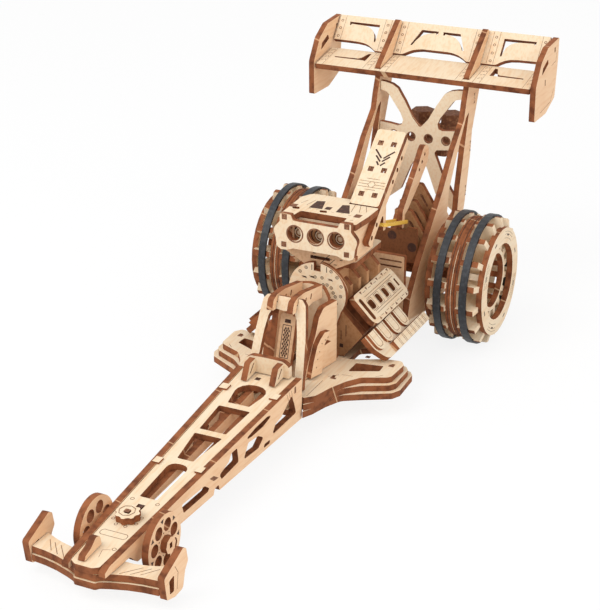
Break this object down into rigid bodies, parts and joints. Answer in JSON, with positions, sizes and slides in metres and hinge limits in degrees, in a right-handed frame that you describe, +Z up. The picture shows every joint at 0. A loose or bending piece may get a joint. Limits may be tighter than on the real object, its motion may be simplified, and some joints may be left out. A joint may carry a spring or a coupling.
{
  "type": "wooden model dragster",
  "caption": "Laser-cut plywood model of a long drag racing car with paddled rear wheels, open engine, tall strutted rear wing and free-turning wheels.",
  "frame": {"origin": "middle of the model's bounding box in plan, on the ground plane under the wheels", "axes": "+Y backwards along the car, +X to the car's left side, +Z up; the nose points along -Y"},
  "size_m": [0.1194, 0.3471, 0.1344],
  "materials": {
    "birch_ply": "bare birch plywood with scorched laser-cut edges",
    "scorched_ply": "dark scorched plywood edge",
    "black_rubber": "matte black rubber band",
    "orange_elastic": "orange elastic band"
  },
  "bodies": {
    "chassis": {"belly_plate": "birch_ply", "blower_deck": "birch_ply", "blower_front": "birch_ply", "cockpit_frame": "birch_ply", "cockpit_hoop_left": "birch_ply", "cockpit_hoop_right": "birch_ply", "cockpit_side_left": "birch_ply", "cockpit_side_right": "birch_ply", "cowl_hoop": "birch_ply", "cross_brace": "birch_ply", "elastic_band": "orange_elastic", "engine_block": "scorched_ply", "filler_cap": "birch_ply", "firewall": "birch_ply", "front_endplate_left": "birch_ply", "front_endplate_right": "birch_ply", "front_wing_lower": "birch_ply", "front_wing_upper": "birch_ply", "header_bank_left": "birch_ply", "header_bank_right": "birch_ply", "inner_rail_left": "birch_ply", "inner_rail_right": "birch_ply", "ladder_deck": "birch_ply", "lever_strip": "birch_ply", "nose_fin": "birch_ply", "parachute_packs": "birch_ply", "rear_cage_left": "birch_ply", "rear_cage_right": "birch_ply", "rear_wall": "birch_ply", "scoop_front": "birch_ply", "scoop_inner": "birch_ply", "scoop_side_left": "birch_ply", "scoop_side_right": "birch_ply", "scoop_top": "birch_ply", "seat_panel": "birch_ply", "side_skirt_left": "birch_ply", "side_skirt_right": "birch_ply", "side_truss_left": "birch_ply", "side_truss_right": "birch_ply", "start_lever": "birch_ply", "timing_plate": "birch_ply", "trigger_post": "birch_ply", "valve_cover_left": "birch_ply", "valve_cover_right": "birch_ply", "wing_back_blade": "birch_ply", "wing_endplate_left": "birch_ply", "wing_endplate_right": "birch_ply", "wing_lower_blade": "birch_ply", "wing_strut_left": "birch_ply", "wing_strut_right": "birch_ply"},
    "front_wheelset": {"front_axle": "scorched_ply", "front_wheel_left": "birch_ply", "front_wheel_right": "birch_ply"},
    "rear_wheelset": {"rear_axle": "scorched_ply", "rear_band_inner_left": "black_rubber", "rear_band_inner_right": "black_rubber", "rear_band_outer_left": "black_rubber", "rear_band_outer_right": "black_rubber", "rear_wheel_left": "birch_ply", "rear_wheel_right": "birch_ply"}
  },
  "joints": [
    {"name": "front_axle_spin", "type": "hinge", "parent": "chassis", "child": "front_wheelset", "pos_m": [0, -0.1439, 0.0118], "axis": [1, 0, 0], "continuous": true},
    {"name": "rear_axle_spin", "type": "hinge", "parent": "chassis", "child": "rear_wheelset", "pos_m": [0, 0.0998, 0.0314], "axis": [1, 0, 0], "continuous": true}
  ]
}
